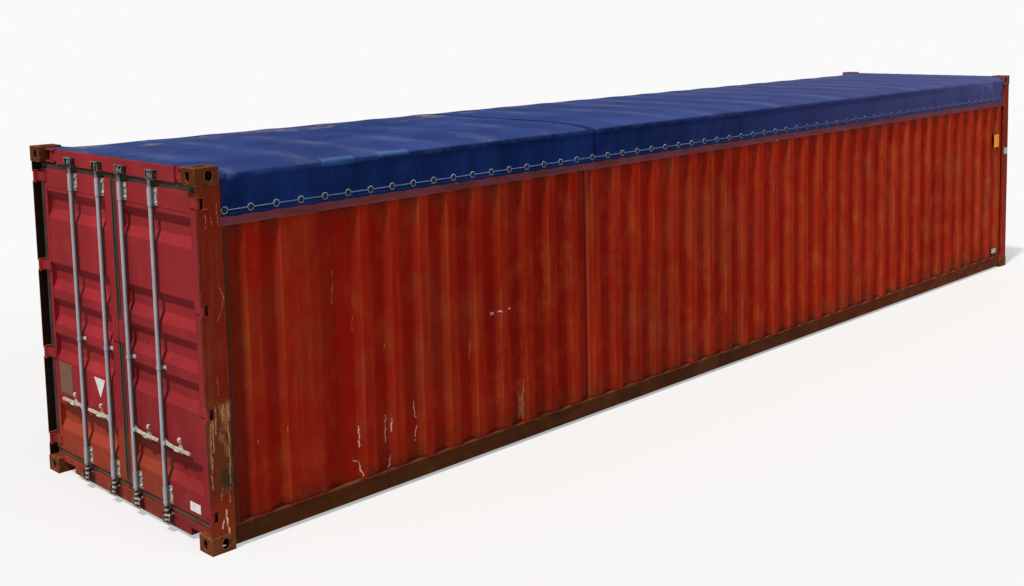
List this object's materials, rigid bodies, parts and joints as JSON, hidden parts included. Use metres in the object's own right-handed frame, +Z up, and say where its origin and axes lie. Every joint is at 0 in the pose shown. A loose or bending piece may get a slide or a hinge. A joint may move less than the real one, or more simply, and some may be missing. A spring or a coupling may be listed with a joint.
{
  "type": "open-top shipping container",
  "caption": "Long open-top shipping container with corrugated steel walls, a tarpaulin roof over bows, corner castings and hinged end doors with locking bars.",
  "frame": {"origin": "under the middle of the box, on the plane of the bottom corner castings", "axes": "+X along the box from the door end to the front wall, +Y to the left as seen facing the doors, +Z up"},
  "size_m": [12.192, 2.438, 2.591],
  "materials": {
    "box_paint": "weathered red oxide paint",
    "door_paint": "weathered crimson paint",
    "post_paint": "worn paint with rust",
    "rail_paint": "dark worn paint with rust",
    "zinc_steel": "dull galvanised",
    "bow_steel": "dull galvanised",
    "gasket_rubber": "dusty black rubber",
    "floor_wood": "worn plywood",
    "tarp_cloth": "coated blue canvas",
    "tarp_rope": "plastic sheathed rope"
  },
  "bodies": {
    "box": {"bottom_corner_castings": "post_paint", "top_corner_castings": "post_paint", "rear_corner_posts": "post_paint", "front_corner_posts": "post_paint", "bottom_side_rails": "rail_paint", "top_side_rails": "box_paint", "door_sill": "box_paint", "door_header": "box_paint", "header_lugs": "post_paint", "front_sill": "box_paint", "front_header": "box_paint", "right_side_wall": "box_paint", "left_side_wall": "box_paint", "front_wall": "box_paint", "floor": "floor_wood", "cross_members": "rail_paint", "roof_bows": "bow_steel", "tarpaulin": "tarp_cloth", "tarp_flaps": "tarp_cloth", "tarp_ends": "tarp_cloth", "tarp_ropes": "tarp_rope", "hinge_lugs": "post_paint", "cam_keepers": "zinc_steel"},
    "right_door": {"right_door_frame": "door_paint", "right_door_panel": "door_paint", "right_door_gasket": "gasket_rubber", "right_hinge_blades": "door_paint", "right_bar_guides": "zinc_steel", "right_handle_catches": "zinc_steel", "right_seam_plate": "door_paint"},
    "left_door": {"left_door_frame": "door_paint", "left_door_panel": "door_paint", "left_door_gasket": "gasket_rubber", "left_hinge_blades": "door_paint", "left_bar_guides": "zinc_steel", "left_handle_catches": "zinc_steel", "left_seam_plate": "door_paint"},
    "right_outer_lock": {"right_outer_bar": "zinc_steel"},
    "right_inner_lock": {"right_inner_bar": "zinc_steel"},
    "left_outer_lock": {"left_outer_bar": "zinc_steel"},
    "left_inner_lock": {"left_inner_bar": "zinc_steel"},
    "right_outer_grip": {"right_outer_handle": "zinc_steel"},
    "right_inner_grip": {"right_inner_handle": "zinc_steel"},
    "left_outer_grip": {"left_outer_handle": "zinc_steel"},
    "left_inner_grip": {"left_inner_handle": "zinc_steel"}
  },
  "joints": [
    {"name": "right_door_hinge", "type": "hinge", "parent": "box", "child": "right_door", "pos_m": [-6.076, -1.199, 1.3], "axis": [0, 0, 1], "range_deg": [0, 265]},
    {"name": "left_door_hinge", "type": "hinge", "parent": "box", "child": "left_door", "pos_m": [-6.076, 1.199, 1.3], "axis": [0, 0, -1], "range_deg": [0, 265]},
    {"name": "right_outer_bar_turn", "type": "hinge", "parent": "right_door", "child": "right_outer_lock", "pos_m": [-6.074, -0.595, 1.3], "axis": [0, 0, 1], "range_deg": [-110, 0]},
    {"name": "right_inner_bar_turn", "type": "hinge", "parent": "right_door", "child": "right_inner_lock", "pos_m": [-6.074, -0.168, 1.3], "axis": [0, 0, 1], "range_deg": [-110, 0]},
    {"name": "left_outer_bar_turn", "type": "hinge", "parent": "left_door", "child": "left_outer_lock", "pos_m": [-6.074, 0.595, 1.3], "axis": [0, 0, -1], "range_deg": [-110, 0]},
    {"name": "left_inner_bar_turn", "type": "hinge", "parent": "left_door", "child": "left_inner_lock", "pos_m": [-6.074, 0.168, 1.3], "axis": [0, 0, -1], "range_deg": [-110, 0]},
    {"name": "right_outer_handle_lift", "type": "hinge", "parent": "right_outer_lock", "child": "right_outer_grip", "pos_m": [-6.074, -0.629, 0.64], "axis": [-1, 0, 0], "range_deg": [0, 15]},
    {"name": "right_inner_handle_lift", "type": "hinge", "parent": "right_inner_lock", "child": "right_inner_grip", "pos_m": [-6.074, -0.202, 0.64], "axis": [-1, 0, 0], "range_deg": [0, 15]},
    {"name": "left_outer_handle_lift", "type": "hinge", "parent": "left_outer_lock", "child": "left_outer_grip", "pos_m": [-6.074, 0.629, 0.64], "axis": [1, 0, 0], "range_deg": [0, 15]},
    {"name": "left_inner_handle_lift", "type": "hinge", "parent": "left_inner_lock", "child": "left_inner_grip", "pos_m": [-6.074, 0.202, 0.64], "axis": [1, 0, 0], "range_deg": [0, 15]}
  ]
}
